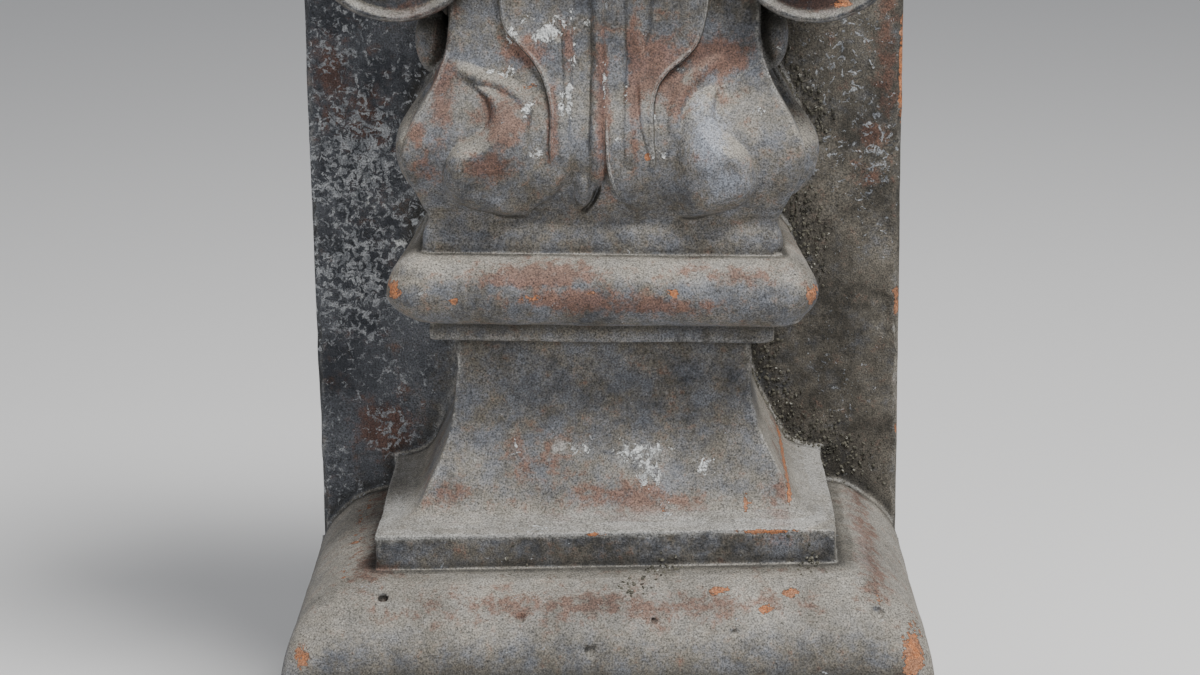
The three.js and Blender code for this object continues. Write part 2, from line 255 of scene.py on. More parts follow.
skirt = 5.0 * rounded(edge / 6) * (1 - ramp(aside, 8, 46)) * between(height, 216, 258, 12)
right = raised(right, np.where(edge > 0, skirt, -60), 2.0)
right = np.where(aside < 1.6, raised(rib, np.minimum(right, 2), 0.6), right)
right = ridge(right, [(2.2, 430), (2.2, 300), (2.3, 272), (3.4, 256), (5.6, 246), (8.8, 238.5),
                      (14, 230.5), (23, 222)], 2.0, 5.8)

leftward = -aside
left = ridge(left, [(-108, 322), (-92, 312), (-78, 306), (-66, 303), (-56, 298), (-49, 289),
                    (-47.5, 277), (-47, 266)], 7, 4.0)
lip = beside([(-66, 392), (-66, 370), (-65, 346), (-61, 334.5), (-53, 325.5), (-46, 318), (-40, 309),
              (-36, 299), (-33.6, 289), (-33, 278), (-33.5, 268), (-32, 256), (-29, 246)])[0]
level = 2.6 + 2.4 * ramp(leftward, 19.6, 21.2) - 0.9 * ramp(leftward, 26.4, 27.6)
level -= 1.8 * np.exp(-((leftward - 48) / 11) ** 2 - ((height - 342) / 14) ** 2)
level = (level * ramp(height, 240, 262)
         + 1.5 * np.exp(-((lip + 1.2) / 1.5) ** 2) * ramp(height, 250, 266))
left = np.where(lip < 0, raised(level, np.minimum(left, 1), 0.8),
                left - 3.6 * np.exp(-lip / 6) * between(height, 262, 352, 10))
drop = 1 - ((leftward - 40) / 6.5) ** 2 - ((height - 277) / 13) ** 2
left -= 2.4 * np.sqrt(np.clip(drop, 0, 1))
wedge = np.minimum(-beside([(-45, 400), (-42, 352), (-36, 336), (-27.5, 327)])[0],
                   beside([(-17, 400), (-19, 352), (-23, 336), (-27, 327)])[0])
left -= 3.4 * np.clip(wedge / 2.4, 0, 1) * (height > 326)
left = groove(left, [(-27, 334), (-26.5, 320), (-26, 305), (-25.4, 280)], 1.9, 2.2)
edge = beside([(-52, 214), (-42, 226), (-33, 232.5), (-26, 240.5), (-22, 250), (-20.8, 262),
               (-20.4, 300)])[0]
skirt = 5.0 * rounded(-edge / 6) * (1 - ramp(leftward, 28, 58)) * between(height, 216, 258, 12)
left = raised(left, np.where(edge < 0, skirt, -60), 2.0)
left = groove(left, [(-18.2, 268), (-18.4, 250), (-18, 238), (-18.5, 228), (-24, 218)], 3.4, 2.2)
left = raised(left, 7.0 * (1 - ((leftward - 11.5) / 6.2) ** 2 - ((height - 238) / 13) ** 2), 1.2)
left = np.where(leftward < 8.9, raised(rib, np.minimum(left, 3), 0.6), left)
left = groove(left, [(-9.3, 430), (-9.3, 300), (-9.4, 256)], 1.5, 1.6)

leaf = np.where(aside > 0, right, left)
leaf = groove(leaf, [(-1.5, 247), (-3, 239), (-6.5, 231), (-12, 222.5), (-18, 214)], 2.8, 5.5)
leaf *= between(height, 221.5, 380, 4)
smear = np.array([1, 2, 1]) / 4
for axis in (0, 1):
    wide = np.pad(leaf, [(1, 1) if axis == 0 else (0, 0), (1, 1) if axis == 1 else (0, 0)],
                  mode="edge")
    leaf = sum(share * np.take(wide, np.arange(leaf.shape[axis]) + k, axis)
               for k, share in enumerate(smear))

# The core: the mouldings run round a square core, with the small errors of a
# hand-pressed piece: the pedestal leans one way, torus and bulb the other, and
# the torus draws in towards the slab. A form is a signed distance at (x, y, z).

pedestal_lean = math.tan(math.radians(-0.75))
upper_lean = math.tan(math.radians(1.2))
torus_draft = 10
left_flank_relief, right_flank_relief = 0.5, 0.85
# The core's reach and the rounding of its corners, as pairs of height and size.
corner_knots = [(-150, 13), (-40, 9), (-2, 5), (2, 2), (136, 2), (148, 3), (156, 20), (186, 20),
                (196, 6), (215, 4), (222, 3), (500, 3)]
core_knots = [(-150, 200), (-110, 190), (-60, 204), (-1, 150), (0, 146), (23, 146), (24, 120),
              (135, 95), (138, 109), (149, 110), (152, 122), (173, 137), (194, 122), (196, 113),
              (220, 110), (262, 125), (330, 98), (500, 100)]


def along(knots, value):
    """A value at any height, on straight lines between knots."""
    heights, values = np.array(knots, float).T
    return np.interp(value.ravel(), heights, values).reshape(value.shape).astype(np.float32)


def sample(table, first, second, first_start, second_start):
    """Reads a table between its entries."""
    i = np.clip((first - first_start) / TABLE_STEP, 0, table.shape[0] - 1.001)
    j = np.clip((second - second_start) / TABLE_STEP, 0, table.shape[1] - 1.001)
    i, j = np.broadcast_arrays(i.astype(np.float32), j.astype(np.float32))
    at = i.astype(np.int32)
    i = i - at
    column = j.astype(np.int32)
    j = j - column
    at = at * table.shape[1] + column
    flat = table.astype(np.float32).ravel()
    lower = flat[at] * (1 - j) + flat[at + 1] * j
    at += table.shape[1]
    return lower * (1 - i) + (flat[at] * (1 - j) + flat[at + 1] * j) * i


def moulded(X, Y, Z):
    """The mouldings and the carved bulb, before slab, volutes and wear."""
    over = Z - seat
    forward = axis_y - Y
    tilt = pedestal_lean * between(over, -4, 112, 6) + upper_lean * ramp(over, 118, 138)
    leaned_over = over + X * tilt
    leaned_x = (X - (over - 230) * upper_lean * ramp(over, 120, 140)
                - over * pedestal_lean * between(over, 0, 112, 8))
    core = along(core_knots, over) - along(corner_knots, over)
    draft = torus_draft * between(over, 152, 196, 3) * np.clip((Y - axis_y + 137) / 167, 0, 1)
    out_x = np.abs(leaned_x) + draft - core
    out_y = forward - core
    reach = (core + np.hypot(np.maximum(out_x, 0), np.maximum(out_y, 0))
             + np.minimum(np.maximum(out_x, out_y), 0))
    leaved = (over.ravel() > 205) & (over.ravel() < 392)
    side_x = np.broadcast_to(leaned_x, reach.shape)[:, :, leaved]
    side_y = np.broadcast_to(forward, reach.shape)[:, :, leaved]
    level = np.broadcast_to(leaned_over, reach.shape)[:, :, leaved]
    faces_front = np.abs(side_x) <= side_y
    hand = np.sign(side_x)
    flank = hand * np.abs(side_y)
    flank_relief = np.where(hand < 0, left_flank_relief, right_flank_relief)
    depth = np.where(faces_front, 1.0, flank_relief).astype(np.float32)
    reach[:, :, leaved] -= depth * sample(leaf, np.where(faces_front, side_x, flank), level,
                                          -leaf_edge, leaf_bottom)
    return sample(profile, reach, leaned_over + seat, TABLE_INNER, TABLE_BOTTOM)


# Slab: the tile that backs the capital and was built into the wall, thrown as a
# flat sheet of clay. The mouldings are luted to it with a fillet of slip, which
# is fuller beside the neck on the left.

slip_size = 5
left_slip = 13


def backed(form, X, Y, Z):
    slab = np.maximum(np.abs(Y - (slab_front + slab_back) / 2) - slab_thickness / 2,
                      np.maximum(np.abs(X) - slab_width / 2,
                                 np.abs(Z - total_height / 2) - total_height / 2))
    slip = slip_size + left_slip * between(Z - seat, 52, 124, 18) * (X < 0)
    return joined(np.maximum(form, Y - slab_front - 10), slab, slip)


# Buds: a plump bud hangs under each volute against the flank of the bulb, rolled
# from a lump of clay and luted on.

bud_across, bud_forward, bud_height = 107, 65, 326
bud_radius, bud_length = 11, 21


def with_buds(form, X, Y, Z):
    over = Z - seat
    rows = (over.ravel() > 295) & (over.ravel() < 357)
    for side in (-1, 1):
        bud = np.sqrt(((X - side * bud_across) / bud_radius) ** 2
                      + ((axis_y - Y - bud_forward) / bud_radius) ** 2
                      + ((over[:, :, rows] - bud_height) / bud_length) ** 2)
        form[:, :, rows] = joined(form[:, :, rows], (bud - 1) * bud_radius, 5)
    return form


# Volutes and channel: two spirals with a raised rim, rolled back to the slab as
# bolsters, and the sunk channel that joins them over the echinus.

volute_centre = 124.0
volute_eye = 397.0
volute_top = 74.0
volute_shrink = 0.556
volute_band = 0.13
volute_face = 140.0
volute_relief = 6.0
volute_thickness = 24
volute_turns = 2.5
volute_sunk = 2.5
volute_lean = math.tan(math.radians(0.7))
channel_bottom = 411.0
channel_top = volute_eye + volute_top
bolster_knots = [(-12, 44), (0, 44), (30, 40), (60, 38), (92, 42), (120, 49)]
face_y = slab_front - volute_face


def scroll(scroll_x, Y, scroll_z, side):
    """One volute with the bolster that runs back from it to the slab."""
    from_eye = np.hypot(scroll_x - side * volute_centre, scroll_z - volute_eye)
    turn = (np.arctan2(side * scroll_x - volute_centre, scroll_z - volute_eye) / (2 * np.pi)) % 1.0
    rise = 1.2 * np.clip(5.5 - from_eye / 2, 0, 1)
    for loop in range(3):
        rim = volute_top * volute_shrink ** (turn + loop)
        inside = np.abs(from_eye - rim * (1 - volute_band / 2)) / (rim * volute_band / 2)
        rise = np.maximum(rise, np.where(turn + loop < volute_turns, np.clip(1.25 - inside, 0, 1), 0))
    sunk = volute_sunk * (1 - np.clip(rise, 0, 1)) * between(from_eye, 12, 62, 6)
    rim = volute_top * volute_shrink ** turn
    plate = np.maximum(np.maximum(from_eye - rim, face_y - volute_relief * rise + sunk - Y),
                       Y - face_y - volute_thickness)
    behind = slab_front - Y
    bolster = np.maximum(from_eye - along(bolster_knots, behind),
                         np.maximum(-behind - 12, behind - volute_face + 6))
    return joined(plate, bolster, 4)


def with_volutes(form, X, Y, Z):
    over = Z - seat
    rows = (over.ravel() > 335) & (over.ravel() < 480)
    scroll_z = over[:, :, rows] + X * volute_lean
    scroll_x = X - (over[:, :, rows] - 130) * volute_lean
    part = form[:, :, rows]
    for side in (-1, 1):
        part = joined(part, scroll(scroll_x, Y, scroll_z, side), 2.5)
    band_height = volute_top * volute_band
    sunk = between(scroll_z, channel_bottom + band_height, channel_top - band_height, 1.0)
    front = face_y - volute_relief + (volute_relief + volute_sunk) * sunk
    middle = (channel_bottom + channel_top) / 2
    channel = np.maximum(np.abs(scroll_x) - volute_centre - 2,
                         np.abs(scroll_z - middle) - (channel_top - channel_bottom) / 2)
    channel = np.maximum(channel, front - Y)
    past_band = (np.abs(scroll_x) > 84) & (scroll_z < channel_bottom + band_height)
    channel = np.where(past_band, np.maximum(channel, face_y - Y), channel)
    form[:, :, rows] = joined(part, channel, 1.5)
    return form


# Abacus: the flat slab of clay on top that carries the load, cut square, with a
# small step under its edge.

abacus_half, abacus_forward, abacus_bottom, abacus_step = 175, 157, 461, 9


def with_abacus(form, X, Y, Z):
    rows = Z.ravel() - seat > 455
    level = Z[:, :, rows] - seat
    step = abacus_step * ramp(level, 472, 482)
    abacus = np.maximum(np.abs(X) - abacus_half - step, slab_front - abacus_forward - step - Y)
    abacus = np.maximum(np.maximum(abacus, abacus_bottom - level),
                        np.maximum(Y - slab_front - 10, level - total_height + seat))
    form[:, :, rows] = joined(form[:, :, rows], abacus, 2)
    return form


# Wear: decades on a wall have swollen and nibbled the skin, broken a corner off
# the cushion, spalled the slab and opened small pits. The bedding faces are cut true.

# Pits at (across, front to back, over the cushion, radius).
pits = [(-59, -37, 81, 5.0), (4, -34, 99, 5.0), (-30, -36, 66, 3.0), (32, -36, 62, 3.5), (12, -38, 57, 3.0),
        (58, -33, 55, 3.0), (-54, -124, -17, 5.5), (-10, -136, -35, 5.5), (-86, -37, 58, 3.0),
        (-98, -148, -62, 4.0), (60, -134, -30, 3.0), (169, -122, -16, 7.0), (150, -20, 24, 3.0),
        (30, -124, -20, 2.5), (80, -130, -26, 3.0), (-140, -110, -10, 3.5)]
spall = (190, slab_front - 8, 120)
knocked = (220, axis_y - 219, -66)
knocked_half = 30
broken_turn = np.array(Matrix.Rotation(0.25, 3, "X") @ Matrix.Rotation(0.2, 3, "Y")
                       @ Matrix.Rotation(0.8, 3, "Z"))


def lumps(X, Y, Z, cell, seed):
    """Soft random swells, about -1 to 1, with one value to each cell of the clay."""
    generator = np.random.default_rng(seed)
    start = low_mm - 30
    counts = ((high_mm + 30 - start) / cell).astype(int) + 2
    values = generator.uniform(-1, 1, counts).astype(np.float32)
    for which, axis in enumerate((X, Y, Z)):
        t = (axis.ravel() - start[which]) / cell
        i = t.astype(int)
        f = t - i
        f = (f * f * (3 - 2 * f)).astype(np.float32)
        shape = [1, 1, 1]
        shape[which] = -1
        f = f.reshape(shape)
        values = np.take(values, i, which) * (1 - f) + np.take(values, i + 1, which) * f
    return values


def near(X, Y, Z, centre, size):
    """The part of some columns that lies within a size of a place."""
    spans = []
    for axis, middle in zip((X.ravel(), Y.ravel(), Z.ravel() - seat), centre):
        inside = np.flatnonzero(np.abs(axis - middle) < size)
        spans.append(slice(inside[0], inside[-1] + 1) if len(inside) else slice(0, 0))
    return tuple(spans)


def offsets_from(X, Y, Z, spot, centre):
    return (X[spot[0]] - centre[0], Y[:, spot[1]] - centre[1],
            Z[:, :, spot[2]] - seat - centre[2])


def weathered(form, X, Y, Z):
    swell = lumps(X, Y, Z, 46.0, 3)
    nibble = lumps(X, Y, Z, 16.0, 11)
    grit = lumps(X, Y, Z, 7.0, 5)
    pock = lumps(X, Y, Z, 3.4, 21)
    form = form + 0.5 * swell + 0.25 * nibble * (Y < slab_front + 3)
    form += 0.22 * pock * (0.25 + np.clip(swell + 0.3 * nibble, 0, 1)) * (Y < slab_front + 3)
    arris = np.hypot(slab_width / 2 - np.abs(X), Y - slab_front)
    form = np.maximum(form, 2.0 + 2.2 * nibble + 1.0 * grit - arris)
    for x, y, z, radius in pits:
        spot = near(X, Y, Z, (x, y, z), 3 * radius)
        away = np.sqrt(sum(d * d for d in offsets_from(X, Y, Z, spot, (x, y, z))))
        form[spot] = np.maximum(form[spot], 0.8 * radius + 1.2 * pock[spot] - away)
    spot = near(X, Y, Z, spall, 60)
    dx, dy, dz = offsets_from(X, Y, Z, spot, spall)
    hollow = 10 * (1 - np.sqrt((dx / 15) ** 2 + (dy / 10) ** 2 + (dz / 24) ** 2))
    form[spot] = np.maximum(form[spot], hollow + 0.7 * pock[spot] + 0.5 * grit[spot])
    spot = near(X, Y, Z, knocked, 60)
    offsets = offsets_from(X, Y, Z, spot, knocked)
    faces = [np.abs(sum(broken_turn[i][k] * offsets[i] for i in range(3))) - knocked_half
             for k in range(3)]
    form[spot] = np.maximum(form[spot], -(np.maximum.reduce(faces) + 1.5 * grit[spot]))
    form = np.maximum(form, np.maximum(np.maximum(-Z, Z - total_height), Y - slab_back))
    return np.maximum(form, np.abs(X) - slab_width / 2 - 8 * (Y < slab_front - 1))


# Pressing: the block is set up on a lattice a few columns at a time, closed into
# a mesh, and its triangles are kept where the form needs them. The carved bulb is
# worked out finer, as a skin of its own that dips under the block at its edges.

skin = 1.5
block_pitch, leaf_pitch = 1.3, 0.8
columns_at_once = 24
triangles_kept = 190000


def carved(Y, Z):
    """1 where the fine skin of the bulb lies outermost, 0 where the block does."""
    return between(Z - seat, 224, 386, 3) * (1 - ramp(Y, slab_front - 18, slab_front - 10))


def capital(X, Y, Z):
    """The whole block, a skin's depth lower under the carving."""
    form = moulded(X, Y, Z) + skin * carved(Y, Z)
    form = backed(form, X, Y, Z)
    form = with_abacus(with_volutes(with_buds(form, X, Y, Z), X, Y, Z), X, Y, Z)
    return weathered(form, X, Y, Z)


def bulb(X, Y, Z):
    """The finer skin of the carved bulb."""
    form = moulded(X, Y, Z) + skin * (1 - carved(Y, Z))
    form = np.maximum(form, np.maximum(np.abs(Z - seat - 303) - 92, Y - slab_front + 6))
    return weathered(form, X, Y, Z)


def lattice(low, high, pitch):
    return [np.arange(a, b, pitch, dtype=np.float32) for a, b in zip(low, high)]


def set_up(form, axes):
    """The signed distances of a form on a lattice."""
    field = np.empty([len(axis) for axis in axes], np.float32)
    for start in range(0, len(axes[0]), columns_at_once):
        columns = slice(start, start + columns_at_once)
        field[columns] = form(axes[0][columns, None, None], axes[1][None, :, None],
                              axes[2][None, None, :])
    return field


def skinned(name, field, axes):
    """Closes a form on its lattice into a mesh."""
    pitch = float(axes[0][1] - axes[0][0])
    grid = openvdb.FloatGrid(background=3 * pitch)
    grid.copyFromArray(np.clip(field, -3 * pitch, 3 * pitch))
    points, _, quads = grid.convertToPolygons(isovalue=0.0, adaptivity=0.0)
    points = (points * pitch + np.array([axis[0] for axis in axes])) * MM
    mesh = bpy.data.meshes.new(name)
    mesh.vertices.add(len(points))
    mesh.vertices.foreach_set("co", points.astype(np.float32).ravel())
    mesh.loops.add(len(quads) * 4)
    mesh.loops.foreach_set("vertex_index", quads.astype(np.int32).ravel())
    mesh.polygons.add(len(quads))
    mesh.polygons.foreach_set("loop_start", np.arange(0, len(quads) * 4, 4, dtype=np.int32))
    mesh.update(calc_edges=True)
    mesh.validate()
    piece = bpy.data.objects.new(name, mesh)
    bpy.context.scene.collection.objects.link(piece)
    return piece


def thinned(piece):
    """Keeps triangles where the form needs them, and points inside the capital's box."""
    fewer = piece.modifiers.new("fewer", "DECIMATE")
    fewer.ratio = min(1.0, triangles_kept / (2 * len(piece.data.polygons)))
    settled = piece.evaluated_get(bpy.context.evaluated_depsgraph_get())
    mesh = bpy.data.meshes.new_from_object(settled)
    piece.modifiers.clear()
    whole = piece.data
    piece.data = mesh
    bpy.data.meshes.remove(whole)
    flat = np.empty(len(mesh.vertices) * 3, np.float32)
    mesh.vertices.foreach_get("co", flat)
    inside = np.clip(flat.reshape(-1, 3), low_mm * MM, high_mm * MM)
    mesh.vertices.foreach_set("co", inside.astype(np.float32).ravel())
    mesh.polygons.foreach_set("use_smooth", np.ones(len(mesh.polygons), bool))
    mesh.update()


block_axes = lattice(low_mm - 5, high_mm + 5, block_pitch)
clay = set_up(capital, block_axes)
block = skinned("capital", clay, block_axes)
thinned(block)

leaf_axes = lattice((-140, axis_y - 140, seat + 205), (140, slab_front, seat + leaf_top), leaf_pitch)
leaf_clay = set_up(bulb, leaf_axes)
leafwork = skinned("acanthus_leaves", leaf_clay, leaf_axes)
thinned(leafwork)

# Paint, weather, and the light and shade painted into the paint: how much of each lies where is kept on the
# points of the mesh. Cavities and worn edges are read from the clay itself.


def points_of(mesh):
    flat = np.empty(len(mesh.vertices) * 3, np.float32)
    mesh.vertices.foreach_get("co", flat)
    normals = np.empty(len(mesh.vertices) * 3, np.float32)
    mesh.vertex_normals.foreach_get("vector", normals)
    return flat.reshape(-1, 3) / MM, normals.reshape(-1, 3)


def depth_at(points, field, axes):
    """The signed distance of points from a form's skin."""
    pitch = axes[0][1] - axes[0][0]
    where = [(points[:, i] - axes[i][0]) / pitch for i in range(3)]
    where = [np.clip(w, 0, len(axis) - 1.001) for w, axis in zip(where, axes)]
    i, j, k = (w.astype(int) for w in where)
    f, g, h = (w - w.astype(int) for w in where)
    value = 0
    for di, wi in ((0, 1 - f), (1, f)):
        for dj, wj in ((0, 1 - g), (1, g)):
            for dk, wk in ((0, 1 - h), (1, h)):
                value = value + field[i + di, j + dj, k + dk] * wi * wj * wk
    return value


def keep(mesh, name, values):
    """Keeps a share from 0 to 1 on each point."""
    layer = mesh.attributes.new(name, "FLOAT", "POINT")
    layer.data.foreach_set("value", np.clip(values, 0, 1).astype(np.float32))


def spot_shares(points, places):
    """Soft patches at (across, over the cushion, half width, half height, strength)."""
    for x, z, wide, tall, strength in places:
        yield strength * np.exp(-((points[:, 0] - x) / wide) ** 2
                                - ((points[:, 2] - seat - z) / tall) ** 2)


def patches(points, on_slab, places):
    """Soft patches, either on the slab only or on everything before it."""
    slab_share = ramp(points[:, 1], slab_front - 9, slab_front - 3) * (points[:, 1] < slab_back - 5)
    total = np.maximum.reduce(list(spot_shares(points, places)))
    return total * (slab_share if on_slab else 1 - slab_share)


def keep_weather_and_painted_light(mesh, field, axes):
    points, normals = points_of(mesh)
    px, py, pz = points.T
    po = pz - seat
    front_side = 1 - ramp(py, slab_front + 4, slab_front + 30)
    # How enclosed each point is; below, it darkens the paint in cavities and recesses as painted shade with
    # some grime.
    near_cavity = 1 - depth_at(points + normals * 7, clay, block_axes) / 7
    wide_cavity = 1 - depth_at(points + normals * 26, clay, block_axes) / 26
    cavity = np.clip(0.75 * near_cavity + 0.85 * wide_cavity, 0, 1)
    worn_edge = np.clip(1 + depth_at(points - normals * 5, field, axes) / 5, 0, 1) * 2.2
    # Sharp edges, which carry a painted highlight with lime below.
    arris = np.clip(1 + depth_at(points - normals * 2, field, axes) / 2, 0, 1) * 2.5
    # Narrow creases, which carry painted shade below.
    crease = np.clip(1 - depth_at(points + normals * 2.5, field, axes) / 2.5, 0, 1) * 2.5
    keep(mesh, "arris", arris)
    keep(mesh, "crease", crease)
    keep(mesh, "cavity", cavity)
    keep(mesh, "edge", worn_edge)

    on_slab = ramp(py, slab_front - 9, slab_front - 2)
    salt = patches(points, True, [
        (-180, 300, 40, 60, 0.75), (-165, 230, 60, 70, 1.0), (-170, 150, 55, 70, 0.95),
        (-140, 190, 24, 40, 0.7), (-150, 80, 45, 40, 0.66), (-150, 45, 26, 30, 0.85),
        (-125, 290, 20, 50, 0.6), (-190, 20, 16, 60, 0.6), (-150, -10, 60, 30, 0.5),
        (160, 305, 36, 50, 0.55), (182, 235, 20, 60, 0.62), (150, 330, 40, 20, 0.5),
        (150, 235, 22, 26, 0.5), (160, 75, 22, 40, 0.36)])
    lime = np.maximum(
        patches(points, True, [
            (-165, 290, 30, 50, 0.45), (-160, 200, 36, 50, 0.55), (-172, 140, 30, 40, 0.48),
            (-139, 172, 8, 9, 1.0), (-125, 235, 10, 50, 0.5), (-148, 110, 20, 26, 0.4),
            (140, 133, 4, 6, 0.75), (186, 76, 4, 6, 0.6)]),
        patches(points, False, [
            (-20, 296, 4, 30, 0.95), (-25, 290, 4, 20, 0.85), (-34, 334, 14, 10, 0.90),
            (-44, 342, 12, 10, 0.70), (-17, 325, 4, 26, 0.75), (2, 300, 2.4, 26, 0.85),
            (-66, 311, 22, 10, 0.68), (-56, 335, 10, 14, 0.70), (-46, 290, 6, 10, 0.85),
            (-40, 265, 9, 6, 0.80), (15, 300, 2.4, 26, 0.62), (10, 268, 7, 14, 0.62),
            (34, 285, 4, 18, 0.66), (36, 262, 12, 6, 0.70), (50, 312, 14, 4, 0.66),
            (95, 287, 14, 4, 0.78), (88, 294, 5, 5, 0.66), (26, 335, 4, 16, 0.55),
            (-22, 345, 14, 12, 0.75), (-8, 340, 5, 20, 0.6), (-34, 245, 8, 8, 0.6),
            (22, 64, 34, 10, 0.86), (28, 52, 15, 14, 0.92), (-16, 66, 16, 8, 0.78),
            (-35, 105, 20, 8, 0.48), (6, 92, 18, 5, 0.5), (20, 108, 16, 5, 0.55),
            (-58, 62, 10, 16, 0.62), (62, 56, 14, 12, 0.70), (38, 30, 8, 10, 0.75),
            (30, 142, 40, 4, 0.48), (-114, 177, 5, 5, 1.1), (-8, 178, 2.5, 5, 0.70),
            (-42, 24, 16, 2, 0.70), (113, 320, 7, 12, 0.6), (-108, 320, 9, 14, 0.55),
            (-185, -36, 10, 14, 0.5), (122, 195, 6, 10, 0.5), (145, -3, 10, 5, 0.6),
            (188, -12, 6, 10, 0.5), (-20, 200, 60, 5, 0.42), (54, -14, 4, 3, 0.7),
            (-13, 200, 90, 3, 0.42), (108, 70, 4, 30, 0.55), (128, -4, 7, 3, 0.8)]))
    umber = np.maximum(
        patches(points, True, [
            (-183, 290, 14, 34, 0.75), (-160, 255, 18, 22, 0.60), (-155, 44, 18, 20, 0.95),
            (190, 300, 9, 60, 0.6), (178, 245, 7, 10, 0.9), (178, 215, 10, 9, 0.7)]),
        patches(points, False, [
            (-40, 187, 42, 7, 1.0), (-15, 172, 38, 8, 0.92), (30, 168, 44, 7, 0.80),
            (85, 186, 36, 6, 0.62), (1, 290, 4.5, 46, 1.0), (20, 305, 4.5, 46, 1.0),
            (-30, 282, 4, 26, 0.85), (-62, 284, 16, 16, 0.85), (-70, 258, 14, 9, 0.82),
            (-100, 300, 9, 30, 0.85), (-113, 278, 7, 6, 0.85), (-46, 322, 16, 9, 0.9),
            (-108, 256, 10, 14, 0.6), (35, 315, 18, 20, 0.85), (72, 318, 28, 16, 0.80),
            (46, 298, 10, 16, 0.75), (-20, 326, 4, 16, 0.8), (15, 36, 48, 11, 0.72),
            (-104, 40, 16, 10, 0.52), (-45, 60, 24, 18, 0.50), (0, -14, 130, 9, 0.60),
            (-112, 350, 26, 6, 0.7), (135, 352, 26, 6, 0.85), (110, 30, 8, 22, 0.75),
            (172, -5, 14, 8, 0.6), (-150, 0, 20, 8, 0.5), (60, 188, 20, 5, 0.6)]))
    bare = np.maximum(
        patches(points, True, [
            (199, 290, 3, 70, 0.80), (198, 130, 3, 24, 0.75), (199, 40, 3, 30, 0.55)]),
        patches(points, False, [
            (43, 176, 7, 4.0, 1.05), (-93, 173, 6, 3.5, 0.92), (-131, 178, 7, 8, 0.84),
            (-45, 174, 14, 4, 0.72), (-8, 177, 4, 3, 0.76), (130, 172, 7, 10, 0.80),
            (-7, 22, 10, 2.0, 0.90), (104, 23, 30, 2.4, 0.86), (90, 34, 3, 9, 0.86),
            (117, 40, 3, 12, 0.80), (71, -7, 10, 3, 0.85), (115, -8, 9, 3, 0.92),
            (99, -15, 6, 5, 0.88), (83, -24, 4, 4, 0.62), (190, -42, 10, 22, 0.85),
            (-190, -40, 9, 10, 0.76), (-168, -5, 14, 4, 0.55), (28, 261, 3, 4, 0.9),
            (-63, 257, 8, 6, 0.50), (37, 31, 5, 4, 0.6), (148, 352, 10, 4, 0.85),
            (-45, 302, 16, 4, 0.55), (170, -12, 8, 5, 0.6)]))
    # A pale bluish sheen on the right curl and a few other patches: a painted sheen.
    sheen_share = patches(points, False, [
        (66, 270, 14, 26, 1.0), (76, 244, 22, 16, 0.8), (60, 290, 10, 12, 0.7),
        (-70, 230, 14, 8, 0.35), (88, 180, 30, 10, 0.4), (110, 250, 14, 24, 0.35)])
    # Brightness of the paint, mostly painted light and shade: painted shade on the plinth's front, over the
    # volutes and on the left curl, painted light on the right curl and the pedestal's right flank; darker on
    # the slab, a little less so on its right.
    painted_light_and_tone = (0.44 - 0.26 * on_slab + 0.02 * (px > 60) * on_slab
            - 0.42 * ramp(po, 322, 340) * (1 - on_slab) * ramp(np.abs(px), 84, 100)
            - 0.24 * between(po, 1, 22, 3) * (1 - on_slab)
            + sum(spot_shares(points, [(75, 262, 34, 40, 0.16), (-80, 262, 36, 44, -0.10),
                                       (100, 60, 22, 60, 0.12)])))
    # Lighter on upward faces, where dust settles, and on right-facing faces below the torus, which is painted
    # light from the right.
    right_lit_share = ramp(normals[:, 0], 0.25, 0.8) * ramp(px, 70, 130)
    dust_and_lit_side = 0.85 * ramp(normals[:, 2], 0.1, 0.8) + 0.9 * right_lit_share * (po < 150)
    keep(mesh, "salt", salt * front_side)
    keep(mesh, "lime", lime * front_side)
    keep(mesh, "umber", umber * front_side + 0.12)
    keep(mesh, "bare", bare * front_side)
    keep(mesh, "sheen_share", sheen_share * front_side)
    keep(mesh, "painted_light_and_tone", painted_light_and_tone)
    keep(mesh, "warm", 0.5 + 0.35 * ramp(px, 90, 150) * on_slab
         - 0.45 * ramp(-px, 90, 150) * on_slab + 0.2 * cavity)
    keep(mesh, "dust_and_lit_side", dust_and_lit_side * front_side)
    clusters = [strength * np.exp(-((px - x) ** 2 + (py - y) ** 2 + (po - z) ** 2) / radius ** 2)
                for x, y, z, radius, strength in (
                    (36, -86, -1, 9, 1.0), (18, -105, -6, 6, 0.8), (128, -83, 0, 7, 0.8),
                    (112, -70, 2, 8, 0.7), (-60, -80, 0, 6, 0.4))]
    recess = (0.75 * on_slab * between(px, 82, 186, 12) * between(po, 4, 330, 14)
              * ramp(wide_cavity, 0.02, 0.35) * front_side)
    keep(mesh, "grit", np.maximum(np.maximum.reduce(clusters), recess))


keep_weather_and_painted_light(block.data, clay, block_axes)
keep_weather_and_painted_light(leafwork.data, leaf_clay, leaf_axes)


def node(tree, kind, sockets=None, **settings):
    made = tree.nodes.new(kind)
    for name, value in settings.items():
        setattr(made, name, value)
    for name, value in (sockets or {}).items():
        if isinstance(value, bpy.types.NodeSocket):
            tree.links.new(value, made.inputs[name])
        else:
            made.inputs[name].default_value = value
    return made


def finish_named(name):
    material = bpy.data.materials.new(name)
    material.use_nodes = True
    return material, material.node_tree, material.node_tree.nodes["Principled BSDF"]


def noise(tree, place, size_mm, detail=4.0, roughness=0.6, warp=0.0):
    return node(tree, "ShaderNodeTexNoise", {"Vector": place, "Scale": 1 / (size_mm * MM), "Detail": detail,
                                             "Roughness": roughness, "Distortion": warp}).outputs["Fac"]


